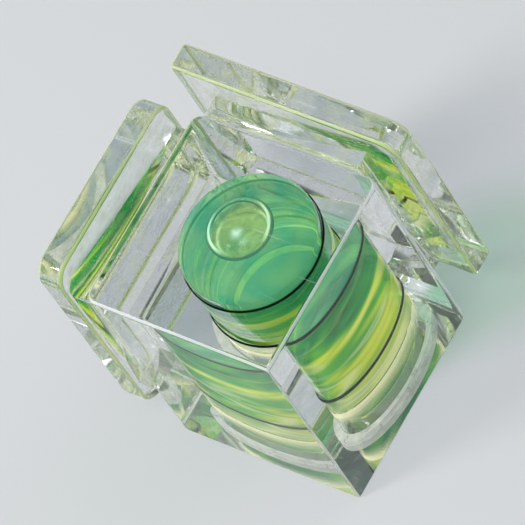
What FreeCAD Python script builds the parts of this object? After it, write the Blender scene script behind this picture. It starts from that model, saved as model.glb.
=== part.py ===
# Hot shoe bubble level: a clear moulded block with two shoe feet and one domed vial cavity.
#
# Frame: +Z runs up the vial, with the domed end on top. The side foot stands on the -X side and
# its rails run along Y. The back foot stands on the +Y side and its rails run along Z. The block
# rests on its bottom face, at z = 0. The origin is the middle of the whole part's footprint.

import FreeCAD, Part
import Sketcher
import math
import os
import re

doc = FreeCAD.newDocument("hot_shoe_bubble_level")

# Driving sizes in millimetres: alias, value, what it is
SIZES = [
    ("block_width", 15.1, "block along X"),
    ("block_depth", 15.1, "block along Y"),
    ("block_height", 18.9, "block along Z"),
    ("corner_radius", 0.9, "upright edges of the block beside the feet"),
    ("front_radius", 0.2, "upright edge of the block away from the feet"),
    ("rim_radius", 0.3, "rounded rims of the block and of the foot plates"),
    ("foot_thickness", 2.0, "both foot plates, to slide under a shoe's rails"),
    ("foot_corner", 1.6, "round corners of the foot plates, seen flat on"),
    ("square_corner", 0.4, "nearly square corners of the back plate, seen flat on"),
    ("neck_width", 12.4, "both necks, to pass between a shoe's rails"),
    ("neck_inset", 0.4, "end of a neck behind the end of its plate"),
    ("neck_root", 0.9, "run of a neck into its plate and into the block"),
    ("side_gap", 1.6, "slot between the block and the side plate"),
    ("side_length", 14.6, "side plate along Y"),
    ("side_width", 18.7, "side plate along Z"),
    ("side_lift", 1.75, "lower edge of the side plate above the bottom face"),
    ("back_gap", 1.85, "slot between the block and the back plate"),
    ("back_length", 18.0, "back plate along Z"),
    ("back_width", 18.4, "back plate along X"),
    ("back_lift", 2.2, "lower edge of the back plate above the bottom face"),
    ("back_shift", -1.15, "middle of the back foot from the block's middle, along X"),
    ("back_neck_drop", 2.3, "top of the back neck below the top of its plate"),
    ("vial_shift_x", -0.2, "vial axis from the block's middle, along X"),
    ("vial_shift_y", 1.2, "vial axis from the block's middle, along Y"),
    ("cavity_radius", 4.95, "barrel of the vial cavity"),
    ("roof", 1.5, "clear wall over the middle of the cavity's dome"),
    ("dome_radius", 7.6, "curve of the dome that centres the bubble"),
    ("shoulder_radius", 0.8, "round between the barrel and the dome"),
    ("ring_width", 0.27, "black line, along the vial"),
    ("ring_depth", 0.1, "black line, into the barrel's wall"),
    ("ring_lift", 2.0, "middle of the lower black line above the end plug"),
    ("ring_spacing", 8.35, "distance between the middles of the two black lines"),
    ("plug_height", 3.5, "end plug, from the bottom face to the cavity"),
    ("plug_wall", 0.7, "rim of the end plug round its dished underside"),
    ("recess_depth", 1.2, "dished underside of the end plug"),
    ("cement_width", 0.75, "ring of cement round the end plug"),
    ("cement_height", 0.7, "ring of cement, up from the bottom face"),
    ("bubble_radius", 2.4, "air bubble, seen from above"),
    ("bubble_height", 1.8, "air bubble, from top to bottom"),
    ("bubble_cover", 0.12, "liquid over the top of the bubble"),
    ("bubble_shift_x", -0.55, "bubble from the vial axis, along X"),
    ("bubble_shift_y", 0.25, "bubble from the vial axis, along Y"),
    ("film", 0.03, "clearance of the liquid, lines, plug and cement from their seats"),
]

# Sizes that follow from the driving ones: alias, formula, what it is
DERIVED = [
    ("block_right", "block_width / 2", "right face of the block"),
    ("block_left", "-block_right", "left face of the block"),
    ("block_rear", "block_depth / 2", "rear face of the block"),
    ("block_front", "-block_rear", "front face of the block"),
    ("side_face", "block_left - side_gap", "inner face of the side plate"),
    ("side_rear", "block_front + side_length", "rear end of the side plate"),
    ("side_top", "side_lift + side_width", "upper edge of the side plate"),
    ("side_neck_floor", "side_lift + (side_width - neck_width) / 2", "underside of the side neck"),
    ("back_face", "block_rear + back_gap", "inner face of the back plate"),
    ("back_left", "back_shift - back_width / 2", "left end of the back plate"),
    ("back_right", "back_shift + back_width / 2", "right end of the back plate"),
    ("back_top", "back_lift + back_length", "upper edge of the back plate"),
    ("back_neck_top", "back_top - back_neck_drop", "top of the back neck"),
    ("reach_left", "min(side_face - foot_thickness; back_left)", "lowest X of the part"),
    ("reach_right", "max(block_right; back_right)", "highest X of the part"),
    ("reach_rear", "max(back_face + foot_thickness; side_rear)", "highest Y of the part"),
    ("origin_x", "-(reach_left + reach_right) / 2", "block's middle in the part's frame"),
    ("origin_y", "-(block_front + reach_rear) / 2", "block's middle in the part's frame"),
    ("vial_x", "origin_x + vial_shift_x", "vial axis in the part's frame"),
    ("vial_y", "origin_y + vial_shift_y", "vial axis in the part's frame"),
    ("cavity_top", "block_height - roof", "highest point of the cavity's dome above the bottom face"),
    ("plug_radius", "cavity_radius - film", "end plug"),
    ("recess_radius", "plug_radius - plug_wall", "dished underside of the end plug"),
    ("lower_line", "plug_height + ring_lift - ring_width / 2", "underside of the lower line"),
    ("upper_line", "lower_line + ring_spacing", "underside of the upper line"),
    ("ring_radius", "cavity_radius + ring_depth", "outside of a black line"),
    ("cement_radius", "plug_radius + cement_width", "counterbore of the end plug"),
    ("spirit_radius", "cavity_radius - film", "barrel of the liquid"),
    ("spirit_floor", "plug_height + film", "underside of the liquid"),
    ("spirit_top", "cavity_top - film", "top of the liquid's dome"),
    ("spirit_dome", "dome_radius - film", "curve of the liquid's dome"),
    ("spirit_shoulder", "shoulder_radius - film", "round of the liquid's shoulder"),
    ("bore_floor", "cement_height / 2", "start of the cavity's cutting shape, inside the counterbore"),
    ("bubble_middle", "spirit_top - bubble_cover - bubble_height / 2", "height of the bubble's middle"),
    ("bubble_x", "vial_x + bubble_shift_x", "middle of the bubble in the part's frame"),
    ("bubble_y", "vial_y + bubble_shift_y", "middle of the bubble in the part's frame"),
]
ALIASES = {entry[0] for entry in SIZES + DERIVED}

# Words for what Sketcher counts: a sketch's axes as -1 and -2, and a curve's points from 0 up
AXES = ["axis_x", "axis_y"]
POINTS = ["whole", "start", "end", "centre"]

# Difference in millimetres below which two places count as one
TOUCH = 1e-4


def linked(formula):
    """The formula with each alias written as a cell of the sheet."""
    return re.sub(r"[a-z_]+", lambda word: f"sizes.{word[0]}" if word[0] in ALIASES else word[0], formula)


sheet = doc.addObject("Spreadsheet::Sheet", "sizes")
for row, (alias, value, note) in enumerate(SIZES + DERIVED, start=1):
    derived = isinstance(value, str)
    sheet.set(f"A{row}", alias)
    sheet.set(f"B{row}", "=" + value if derived else str(value))
    sheet.set(f"C{row}", note)
    sheet.setAlias(f"B{row}", alias)
doc.recompute()


def size(alias):
    """The present value of a cell, for a sketch's first guess and for finding edges."""
    return float(sheet.get(alias))


def tie(thing, **formulas):
    """Bind properties of an object to the sheet."""
    for name, formula in formulas.items():
        thing.setExpression(name, linked(formula))


def place(thing, x="0", y="0", z="0"):
    """Bind the place of an object to the sheet."""
    for axis, formula in zip("xyz", (x, y, z)):
        thing.setExpression(f"Placement.Base.{axis}", linked(formula))


def new_sketch(body, name, plane, lift="0"):
    """A sketch parallel to one of the body's own origin planes, lifted along that plane's normal."""
    sketch = body.newObject("Sketcher::SketchObject", name)
    face = next(item for item in body.Origin.OriginFeatures if item.Role == plane)
    sketch.AttachmentSupport = [(face, "")]
    sketch.MapMode = "FlatFace"
    sketch.setExpression("AttachmentOffset.Base.z", linked(lift))
    return sketch


def numbered(parts):
    """The parts of a constraint with each word as Sketcher's number."""
    numbers = {word: -1 - place for place, word in enumerate(AXES)}
    numbers.update((word, place) for place, word in enumerate(POINTS))
    return [numbers.get(part, part) for part in parts]


def rule(sketch, kind, *parts):
    """Add a constraint that has no size. parts are curves and the words for their points."""
    sketch.addConstraint(Sketcher.Constraint(kind, *numbered(parts)))


def dimension(sketch, alias, kind, *parts):
    """Add a constraint whose size is the named cell."""
    index = sketch.addConstraint(Sketcher.Constraint(kind, *numbered(parts), size(alias)))
    sketch.setExpression(f"Constraints[{index}]", linked(alias))


def rounded_rectangle(sketch, left, low, right, high, radii):
    """A rectangle with a round at each corner. radii run counter-clockwise from the low left one."""
    x0, y0, x1, y1 = (size(alias) for alias in (left, low, right, high))
    corners = [(x0, y0), (x1, y0), (x1, y1), (x0, y1)]
    along = [(1, 0), (0, 1), (-1, 0), (0, -1)]
    rounds = [size(alias) for alias in radii]
    lines, arcs = [], []
    for i, (x, y) in enumerate(corners):
        dx, dy = along[i]
        nx, ny = corners[(i + 1) % 4]
        after = rounds[(i + 1) % 4]
        start = FreeCAD.Vector(x + dx * rounds[i], y + dy * rounds[i], 0)
        end = FreeCAD.Vector(nx - dx * after, ny - dy * after, 0)
        lines.append(sketch.addGeometry(Part.LineSegment(start, end)))
    for i, (x, y) in enumerate(corners):
        dx, dy = along[i]
        px, py = along[i - 1]
        centre = FreeCAD.Vector(x + (dx - px) * rounds[i], y + (dy - py) * rounds[i], 0)
        circle = Part.Circle(centre, FreeCAD.Vector(0, 0, 1), rounds[i])
        first = math.pi / 2 * (i + 2)
        arcs.append(sketch.addGeometry(Part.ArcOfCircle(circle, first, first + math.pi / 2)))
    for i in range(4):
        rule(sketch, "Tangent", lines[i - 1], "end", arcs[i], "start")
        rule(sketch, "Tangent", arcs[i], "end", lines[i], "start")
        rule(sketch, "Vertical" if i % 2 else "Horizontal", lines[i])
        dimension(sketch, radii[i], "Radius", arcs[i])
    dimension(sketch, low, "DistanceY", "axis_x", "start", lines[0], "start")
    dimension(sketch, right, "DistanceX", "axis_x", "start", lines[1], "start")
    dimension(sketch, high, "DistanceY", "axis_x", "start", lines[2], "start")
    dimension(sketch, left, "DistanceX", "axis_x", "start", lines[3], "start")


def circle_sketch(body, name, radius, lift="0"):
    """A circle about the body's Z axis."""
    sketch = new_sketch(body, name, "XY_Plane", lift)
    middle = Part.Circle(FreeCAD.Vector(0, 0, 0), FreeCAD.Vector(0, 0, 1), size(radius))
    ring = sketch.addGeometry(middle)
    rule(sketch, "Coincident", ring, "centre", "axis_x", "start")
    dimension(sketch, radius, "Radius", ring)
    return sketch


def pad(body, name, sketch, length, backwards=False):
    """Extrude a sketch by the named length."""
    feature = body.newObject("PartDesign::Pad", name)
    feature.Profile = sketch
    feature.Reversed = backwards
    tie(feature, Length=length)
    doc.recompute()
    return feature


def fillet(body, name, base, radius, chosen):
    """Round the edges of a feature that the chosen function picks."""
    names = [f"Edge{i}" for i, edge in enumerate(base.Shape.Edges, start=1) if chosen(edge)]
    if not names:
        raise RuntimeError(f"{name}: no edge to round")
    feature = body.newObject("PartDesign::Fillet", name)
    feature.Base = (base, names)
    tie(feature, Radius=radius)
    doc.recompute()
    return feature


def flat_along(edge, axis):
    """True for an edge that lies in a plane square to the axis: 0 for X, 1 for Y, 2 for Z."""
    box = edge.BoundBox
    spans = (box.XLength, box.YLength, box.ZLength)
    return spans[axis] < TOUCH


def block_core():
    """The upright block, before the feet and the cavity."""
    body = doc.addObject("PartDesign::Body", "block_core")
    sketch = new_sketch(body, "block_outline", "XY_Plane")
    radii = ["corner_radius", "front_radius", "corner_radius", "corner_radius"]
    rounded_rectangle(sketch, "block_left", "block_front", "block_right", "block_rear", radii)
    solid = pad(body, "block_pad", sketch, "block_height")
    fillet(body, "block_rims", solid, "rim_radius", lambda edge: flat_along(edge, 2))
    return body


def foot_plate(name, plane, lift, left, low, right, high, corners):
    """A foot's flat plate, with rounded corners and rims, padded outwards from its inner face."""
    body = doc.addObject("PartDesign::Body", name)
    sketch = new_sketch(body, name + "_outline", plane, lift)
    rounded_rectangle(sketch, left, low, right, high, corners)
    solid = pad(body, name + "_pad", sketch, "foot_thickness", backwards=True)
    across = {"YZ_Plane": 0, "XZ_Plane": 1}[plane]
    fillet(body, name + "_rims", solid, "rim_radius", lambda edge: flat_along(edge, across))
    return body


def neck(name, x, y, z, length, width, height):
    """The bar between a foot's plate and the block, run into both."""
    bar = doc.addObject("Part::Box", name)
    tie(bar, Length=length, Width=width, Height=height)
    place(bar, x, y, z)
    return bar


def cylinder(name, radius, height, z="0", x="0", y="0"):
    """An upright cylinder."""
    solid = doc.addObject("Part::Cylinder", name)
    tie(solid, Radius=radius, Height=height)
    place(solid, x, y, z)
    return solid


def cut(name, base, tool):
    """What is left of the base outside the tool."""
    result = doc.addObject("Part::Cut", name)
    result.Base = base
    result.Tool = tool
    return result


def fuse(name, shapes):
    """Several shapes joined into one solid."""
    result = doc.addObject("Part::MultiFuse", name)
    result.Shapes = shapes
    result.Refine = True
    return result


def domed_barrel(name, radius, floor, top, dome, shoulder):
    """A barrel with a domed top, turned about the Z axis."""
    body = doc.addObject("PartDesign::Body", name)
    sketch = new_sketch(body, name + "_profile", "XZ_Plane")
    r, z0, z1, curve = (size(alias) for alias in (radius, floor, top, dome))
    centre = z1 - curve
    rim = centre + math.sqrt(curve ** 2 - r ** 2)
    circle = Part.Circle(FreeCAD.Vector(0, centre, 0), FreeCAD.Vector(0, 0, 1), curve)
    arc = sketch.addGeometry(Part.ArcOfCircle(circle, math.asin((rim - centre) / curve), math.pi / 2))
    corners = [(0, z1), (0, z0), (r, z0), (r, rim)]
    points = [FreeCAD.Vector(x, y, 0) for x, y in corners]
    lines = [sketch.addGeometry(Part.LineSegment(*pair)) for pair in zip(points, points[1:])]
    rule(sketch, "Coincident", arc, "end", lines[0], "start")
    rule(sketch, "Coincident", lines[0], "end", lines[1], "start")
    rule(sketch, "Coincident", lines[1], "end", lines[2], "start")
    rule(sketch, "Coincident", lines[2], "end", arc, "start")
    rule(sketch, "PointOnObject", arc, "centre", "axis_y")
    rule(sketch, "PointOnObject", lines[0], "start", "axis_y")
    rule(sketch, "PointOnObject", lines[0], "end", "axis_y")
    rule(sketch, "Horizontal", lines[1])
    rule(sketch, "Vertical", lines[2])
    dimension(sketch, radius, "DistanceX", "axis_x", "start", lines[1], "end")
    dimension(sketch, floor, "DistanceY", "axis_x", "start", lines[1], "start")
    dimension(sketch, top, "DistanceY", "axis_x", "start", lines[0], "start")
    dimension(sketch, dome, "Radius", arc)
    turned = body.newObject("PartDesign::Revolution", name + "_turned")
    turned.Profile = sketch
    turned.ReferenceAxis = (sketch, ["V_Axis"])
    turned.Angle = 360
    doc.recompute()

    def is_shoulder(edge):
        box = edge.BoundBox
        return box.ZLength < TOUCH and abs(box.XLength - 2 * r) < TOUCH and box.ZMin > z0 + TOUCH

    fillet(body, name + "_shoulder", turned, shoulder, is_shoulder)
    return body


def line_ring(name, z):
    """A black line: a thin band that fills its groove in the barrel's wall."""
    outside = cylinder(name + "_outside", "ring_radius", "ring_width")
    inside = cylinder(name + "_inside", "cavity_radius", "ring_width + 2 * film", "-film")
    ring = cut(name, outside, inside)
    place(ring, "vial_x", "vial_y", z)
    return ring


def make_block():
    """The one moulding: block, necks and plates, less the vial cavity and the plug's counterbore."""
    core = block_core()
    side_corners = ["foot_corner"] * 4
    side_plate = foot_plate("side_plate", "YZ_Plane", "side_face",
                            "block_front", "side_lift", "side_rear", "side_top", side_corners)
    back_corners = ["square_corner", "square_corner", "foot_corner", "square_corner"]
    back_plate = foot_plate("back_plate", "XZ_Plane", "-back_face",
                            "back_left", "back_lift", "back_right", "back_top", back_corners)
    side_neck = neck("side_neck", "side_face - neck_root", "block_front + neck_inset", "side_neck_floor",
                     "side_gap + 2 * neck_root", "side_length - 2 * neck_inset", "neck_width")
    back_neck = neck("back_neck", "back_shift - neck_width / 2", "block_rear - neck_root",
                     "back_lift + neck_inset", "neck_width", "back_gap + 2 * neck_root",
                     "back_neck_top - back_lift - neck_inset")
    moulding = fuse("moulding", [core, side_plate, back_plate, side_neck, back_neck])
    barrel = domed_barrel("cavity", "cavity_radius", "bore_floor", "cavity_top", "dome_radius",
                          "shoulder_radius")
    counterbore = cylinder("counterbore", "cement_radius", "cement_height")
    grooves = [cylinder(f"{name}_groove", "ring_radius + film", "ring_width + 2 * film", f"{name} - film")
               for name in ("lower_line", "upper_line")]
    space = fuse("vial_space", [barrel, counterbore, *grooves])
    place(space, "vial_shift_x", "vial_shift_y")
    block = cut("block", moulding, space)
    place(block, "origin_x", "origin_y")
    return block


def make_plug():
    """The clear disc that closes the cavity, dished on its underside."""
    body = doc.addObject("PartDesign::Body", "end_plug")
    solid = pad(body, "plug_pad", circle_sketch(body, "plug_outline", "plug_radius"), "plug_height - film")
    sketch = circle_sketch(body, "recess_outline", "recess_radius")
    recess = body.newObject("PartDesign::Pocket", "plug_recess")
    recess.Profile = sketch
    recess.Reversed = True
    tie(recess, Length="recess_depth")
    doc.recompute()
    if recess.Shape.Volume >= solid.Shape.Volume:
        raise RuntimeError("the recess cuts nothing from the plug")
    place(body, "vial_x", "vial_y")
    return body


def make_cement():
    """The ring of cement between the plug and the counterbore."""
    outside = cylinder("cement_outside", "cement_radius - film", "cement_height - film")
    inside = cylinder("cement_inside", "plug_radius + film", "cement_height + 2 * film", "-film")
    ring = cut("plug_cement", outside, inside)
    place(ring, "vial_x", "vial_y")
    return ring


def bubble_shape(name, swell):
    """A flattened ball of air, larger by the named clearance all round."""
    ball = doc.addObject("Part::Ellipsoid", name)
    tie(ball, Radius1=f"bubble_height / 2 + {swell}", Radius2=f"bubble_radius + {swell}",
        Radius3=f"bubble_radius + {swell}")
    return ball


def make_spirit():
    """The coloured liquid, with the hollow that the bubble fills."""
    fill = domed_barrel("spirit_fill", "spirit_radius", "spirit_floor", "spirit_top", "spirit_dome",
                        "spirit_shoulder")
    hollow = bubble_shape("bubble_hollow", "film")
    place(hollow, "bubble_shift_x", "bubble_shift_y", "bubble_middle")
    spirit = cut("spirit", fill, hollow)
    place(spirit, "vial_x", "vial_y")
    return spirit


def make_bubble():
    """The air bubble, afloat under the middle of the dome."""
    bubble = bubble_shape("bubble", "0")
    place(bubble, "bubble_x", "bubble_y", "bubble_middle")
    return bubble


nodes = [make_block(), make_plug(), make_cement(), line_ring("lower_ring", "lower_line"),
         line_ring("upper_ring", "upper_line"), make_spirit(), make_bubble()]
doc.recompute()

for thing in doc.Objects:
    if "Invalid" in thing.State or "Error" in thing.State:
        raise RuntimeError(f"{thing.Label}: {thing.State}")
for node in nodes:
    if node.Shape.isNull() or not node.Shape.isValid():
        raise RuntimeError(f"{node.Label}: bad shape")

os.makedirs("parts", exist_ok=True)
for node in nodes:
    node.Shape.exportStep(f"parts/{node.Label}.step")
    box = node.Shape.BoundBox
    spans = ((box.XMin, box.XMax), (box.YMin, box.YMax), (box.ZMin, box.ZMax))
    reach = ", ".join(f"{low:.2f} to {high:.2f}" for low, high in spans)
    print(f"{node.Label}: {len(node.Shape.Solids)} solid, {node.Shape.Volume:.2f} mm3, {reach}")
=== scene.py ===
# %% [markdown]
# # A hot shoe bubble level
#
# The object is a clear acrylic block, about as large as a sugar cube, that slides into a camera's
# flash shoe. A domed cavity in it holds a green spirit and one air bubble. Almost all of its look
# comes from light that bends at a surface, so this lesson is about glass: which surfaces there are,
# how often each one is there, and how much it bends the light.

import bmesh
import bpy
import math
from mathutils import Matrix, Vector


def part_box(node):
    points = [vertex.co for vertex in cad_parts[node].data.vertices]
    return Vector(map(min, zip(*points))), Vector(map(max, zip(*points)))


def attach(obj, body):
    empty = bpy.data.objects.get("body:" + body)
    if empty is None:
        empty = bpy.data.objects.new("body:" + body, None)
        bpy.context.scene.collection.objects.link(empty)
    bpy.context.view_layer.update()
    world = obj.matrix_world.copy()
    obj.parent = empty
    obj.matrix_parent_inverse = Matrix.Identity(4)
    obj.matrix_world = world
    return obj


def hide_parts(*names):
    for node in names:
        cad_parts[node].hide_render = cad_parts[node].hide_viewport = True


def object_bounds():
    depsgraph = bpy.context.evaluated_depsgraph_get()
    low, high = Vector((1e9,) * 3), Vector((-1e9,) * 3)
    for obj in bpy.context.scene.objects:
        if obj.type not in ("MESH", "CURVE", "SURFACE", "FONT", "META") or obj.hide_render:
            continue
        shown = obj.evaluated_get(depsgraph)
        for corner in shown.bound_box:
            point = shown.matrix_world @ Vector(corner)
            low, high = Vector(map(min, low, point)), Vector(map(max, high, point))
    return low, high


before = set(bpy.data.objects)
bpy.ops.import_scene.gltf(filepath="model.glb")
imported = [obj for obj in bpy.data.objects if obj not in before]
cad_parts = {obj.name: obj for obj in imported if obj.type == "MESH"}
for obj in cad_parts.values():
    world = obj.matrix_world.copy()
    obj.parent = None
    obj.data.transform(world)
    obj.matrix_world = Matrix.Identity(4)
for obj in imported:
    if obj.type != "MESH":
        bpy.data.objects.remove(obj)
cad_low, cad_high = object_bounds()
scene = bpy.context.scene
MM = 0.001
print("CAD box in mm:", [round(side / MM, 2) for side in cad_high - cad_low])


# %% [markdown]
# ## Where the vial stands
#
# The dome, the liquid, the plug and the black lines share one upright axis. The box of a round solid
# gives its axis, its radius and its two heights, so every size that the solids know is measured here
# and none of them is typed a second time.

# %% Measure the round pieces
def round_size(node):
    """Axis, radius, lowest and highest height of an upright round solid."""
    low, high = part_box(node)
    return (low + high).xy / 2, (high.x - low.x) / 2, low.z, high.z


VIAL_AXIS, PLUG_RADIUS, PLUG_LOW, PLUG_TOP = round_size("end_plug")
LINE_RADIUS, LOWER_LINE_LOW, LOWER_LINE_TOP = round_size("lower_ring")[1:]
UPPER_LINE_LOW = round_size("upper_ring")[2]
BUBBLE_AXIS, BUBBLE_RADIUS, BUBBLE_LOW, BUBBLE_TOP = round_size("bubble")
BARREL_RADIUS, SPIRIT_LOW, SPIRIT_TOP = round_size("spirit")[1:]
CEMENT_RADIUS, CEMENT_LOW, CEMENT_TOP = round_size("plug_cement")[1:]
print("vial axis in mm:", [round(value / MM, 3) for value in VIAL_AXIS])
print("barrel radius in mm:", round(BARREL_RADIUS / MM, 3))


# %% [markdown]
# ## The camera
#
# The photograph was taken from far away with a long lens, which keeps the block's edges nearly
# parallel. The camera stands on a circle round the block, well above it, and it is rolled. That is
# why the block leans in the picture although it stands upright on the floor. The two directions of
# the picture are worked out from the two angles first, and are then turned by the roll.

# %% Place the camera
AIM = Vector((-0.588, 0.205, 10.467)) * MM
CAMERA_DISTANCE = 502.28 * MM
CAMERA_AZIMUTH = math.radians(61.34)
CAMERA_ELEVATION = math.radians(55.12)
CAMERA_ROLL = math.radians(-35.41)
CAMERA_LENS = 514.7


def direction(azimuth, elevation):
    """The way from the block to something that is seen at these two angles, both in radians."""
    return Vector((math.sin(azimuth) * math.cos(elevation),
                   -math.cos(azimuth) * math.cos(elevation),
                   math.sin(elevation)))


towards = direction(CAMERA_AZIMUTH, CAMERA_ELEVATION)
level_right = (-towards).cross(Vector((0, 0, 1))).normalized()
level_up = level_right.cross(-towards)
camera_right = level_right * math.cos(CAMERA_ROLL) + level_up * math.sin(CAMERA_ROLL)
camera_up = level_up * math.cos(CAMERA_ROLL) - level_right * math.sin(CAMERA_ROLL)

camera = bpy.data.objects.new("camera", bpy.data.cameras.new("camera"))
turn = Matrix((camera_right, camera_up, towards)).transposed().to_4x4()
camera.matrix_world = Matrix.Translation(AIM + towards * CAMERA_DISTANCE) @ turn
camera.data.lens = CAMERA_LENS
camera.data.clip_start = 0.01
camera.data.clip_end = 10
scene.collection.objects.link(camera)
scene.camera = camera
print("camera at mm:", [round(value / MM, 1) for value in camera.location])


# %% [markdown]
# ## Helpers for materials
#
# Colours are written as the hex values that a picture editor shows, and one function turns them into
# the linear values that light is computed with. One more adds a node with its settings and its links,
# and takes a whole node where it should use that node's first output. The last one is for glass: a
# path tracer hardly ever finds a small lamp through several bent surfaces, so rays that look for
# light, from the floor or from a matt layer, cross each of them in a straight line, a little tinted.
# Rays from the eye still see the glass bend everything.

# %% Colour and node helpers
def linear(hex_colour):
    """An sRGB hex colour as linear red, green, blue and alpha."""
    channels = [int(hex_colour[i:i + 2], 16) / 255 for i in (1, 3, 5)]
    return (*(c / 12.92 if c <= 0.04045 else ((c + 0.055) / 1.055) ** 2.4 for c in channels), 1.0)


def add(tree, kind, settings=None, **inputs):
    """Add a node. An input is named by its socket, or i and the socket's number. Its value is a plain
    value, a socket or a node. The setting called stops fills a colour ramp, as {position: colour}."""
    node = tree.nodes.new(kind)
    for name, value in (settings or {}).items():
        if name != "stops":
            setattr(node, name, value)
            continue
        ramp = node.color_ramp
        while len(ramp.elements) < len(value):
            ramp.elements.new(1.0)
        for stop, (position, colour) in zip(ramp.elements, sorted(value.items())):
            stop.position = position
            stop.color = linear(colour)
    for name, value in inputs.items():
        numbered = name[0] == "i" and name[1:].isdigit()
        socket = node.inputs[int(name[1:]) if numbered else name.replace("_", " ")]
        if isinstance(value, bpy.types.Node):
            value = next(output for output in value.outputs if output.enabled)
        if isinstance(value, bpy.types.NodeSocket):
            tree.links.new(value, socket)
        else:
            socket.default_value = value
    return node


def new_material(name):
    """An empty node material, its tree, its output node and the object's coordinates."""
    material = bpy.data.materials.new(name)
    material.use_nodes = True
    tree = material.node_tree
    tree.nodes.clear()
    output = tree.nodes.new("ShaderNodeOutputMaterial")
    return material, tree, output, add(tree, "ShaderNodeTexCoord").outputs["Object"]


def let_light_through(tree, output, surface, tint):
    """Show the surface to the eye, and let rays that look for light pass it straight, tinted."""
    ray = add(tree, "ShaderNodeLightPath").outputs
    looks_for_light = add(tree, "ShaderNodeMath", {"operation": "MAXIMUM"}, i0=ray["Is Shadow Ray"],
                          i1=ray["Is Diffuse Ray"])
    film = add(tree, "ShaderNodeBsdfTransparent", Color=linear(tint))
    either = add(tree, "ShaderNodeMixShader", i0=looks_for_light, i1=surface, i2=film)
    tree.links.new(either.outputs["Shader"], output.inputs["Surface"])


print("a mid grey in linear light:", round(linear("#808080")[0], 3))


# %% [markdown]
# ## Moulded acrylic
#
# The block is acrylic, moulded against polished steel. Its faces are glossy and clear, but a little
# wavy where the plastic shrank as it cooled, so what is seen through them wanders. Fine scuffs from
# sliding in and out of camera shoes blur them here and there. The waves go into the normal and the
# scuffs into the roughness, because both are far too shallow to need geometry. Real scuffs are finer
# than this and wouldn't show at this size, so they are drawn about three times as coarse.

# %% Gloss, waves and scuffs
ACRYLIC_IOR = 1.49
WAVE_LENGTH = 5.0 * MM
WAVE_HEIGHT = 0.1 * MM
WAVE_STRENGTH = 0.12
SCUFF_LENGTH = 0.3 * MM
SCUFF_ROUGHNESS = 0.12
EDGE_ROUGHNESS = 0.35

acrylic, tree, output, place = new_material("moulded_acrylic")
edge_mask = add(tree, "ShaderNodeAttribute", {"attribute_name": "round"}).outputs["Fac"]
recess_mask = add(tree, "ShaderNodeAttribute", {"attribute_name": "recess"}).outputs["Fac"]
plate_mask = add(tree, "ShaderNodeAttribute", {"attribute_name": "plate"}).outputs["Fac"]

waves = add(tree, "ShaderNodeTexNoise", Vector=place, Scale=1 / WAVE_LENGTH, Detail=1.0)
relief = add(tree, "ShaderNodeBump", Strength=WAVE_STRENGTH, Distance=WAVE_HEIGHT, Height=waves)
scuffs = add(tree, "ShaderNodeTexNoise", Vector=place, Scale=1 / SCUFF_LENGTH, Detail=3.0)
blur = add(tree, "ShaderNodeMapRange", Value=scuffs, From_Min=0.5, From_Max=0.8, To_Max=SCUFF_ROUGHNESS)
frost = add(tree, "ShaderNodeMath", {"operation": "MULTIPLY_ADD"}, i0=edge_mask, i1=EDGE_ROUGHNESS, i2=blur)
clear = add(tree, "ShaderNodeBsdfPrincipled", Base_Color=linear("#F8F9FB"), IOR=ACRYLIC_IOR,
            Transmission_Weight=1.0, Roughness=frost, Normal=relief)
print(acrylic.name, "waves every", round(WAVE_LENGTH / MM, 2), "mm")

# %% [markdown]
# ## Lit edges and the dished underside
#
# The dye's light travels through the block and comes out where a surface turns: along the rounded
# edges, lilac white on the block and yellow-green on the plates, and on the wall of the dished
# underside. The renderer doesn't compute fluorescence, so that light is painted: a matt shader,
# mixed over the glass by masks, paints pale highlights on the edges and, by emission, a glow on the
# wall of the underside. The masks are attributes of the mesh, which a later cell fills in. The painted
# glow of the wall shows towards the air, unevenly. From within the plastic the wall is painted green,
# as the liquid above it. The geometry node tells the two sides of the wall apart.

# %% Colour and glow of the matt layer
RECESS_GLOW = 2.0
FAINTEST_GLOW = 0.3
GLOW_INTO_PLASTIC = 0.05
BLOTCH_LENGTH = 1.4 * MM

# Painted light: lilac white and yellow-green stand in for the highlights on the rounded edges, and worn
# patches take the same colours.
by_piece = add(tree, "ShaderNodeMix", {"data_type": "RGBA"}, i0=plate_mask,
               i6=linear("#F0F1F6"), i7=linear("#DDE8A8"))
from_plastic = add(tree, "ShaderNodeNewGeometry").outputs["Backfacing"]
recess_colour = add(tree, "ShaderNodeMix", {"data_type": "RGBA"}, i0=from_plastic,
                    i6=linear("#FFF0A0"), i7=linear("#5C9444"))
matt_colour = add(tree, "ShaderNodeMix", {"data_type": "RGBA"}, i0=recess_mask,
                  i6=by_piece, i7=recess_colour)
blotches = add(tree, "ShaderNodeTexNoise", Vector=place, Scale=1 / BLOTCH_LENGTH, Detail=4.0, Roughness=0.6)
# Painted glow of the recess wall, by emission, made uneven by the blotches.
flicker = add(tree, "ShaderNodeMapRange", Value=blotches, From_Min=0.35, From_Max=0.65,
              To_Min=FAINTEST_GLOW * RECESS_GLOW, To_Max=RECESS_GLOW)
shown = add(tree, "ShaderNodeMapRange", Value=from_plastic, To_Min=1.0, To_Max=GLOW_INTO_PLASTIC)
glow = recess_mask
for factor in (flicker, shown):
    glow = add(tree, "ShaderNodeMath", {"operation": "MULTIPLY"}, i0=glow, i1=factor)
matt = add(tree, "ShaderNodeBsdfPrincipled", Base_Color=matt_colour, IOR=1.0, Roughness=1.0,
           Emission_Color=linear("#FFEC80"), Emission_Strength=glow)
print(acrylic.name, "blotches about", round(BLOTCH_LENGTH / MM, 2), "mm wide")

# %% [markdown]
# ## Worn plates and scratches
#
# The two foot plates slide between metal rails, so their skin is worn in blotches. Here and there a
# hairline scratch crosses the block, drawn as noise that is stretched out along one direction. Real
# hairlines are a few hundredths of a millimetre wide and are drawn several times as wide, to show at
# all. Wear and scratches use the same matt shader as the edges, and the largest share wins.

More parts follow.
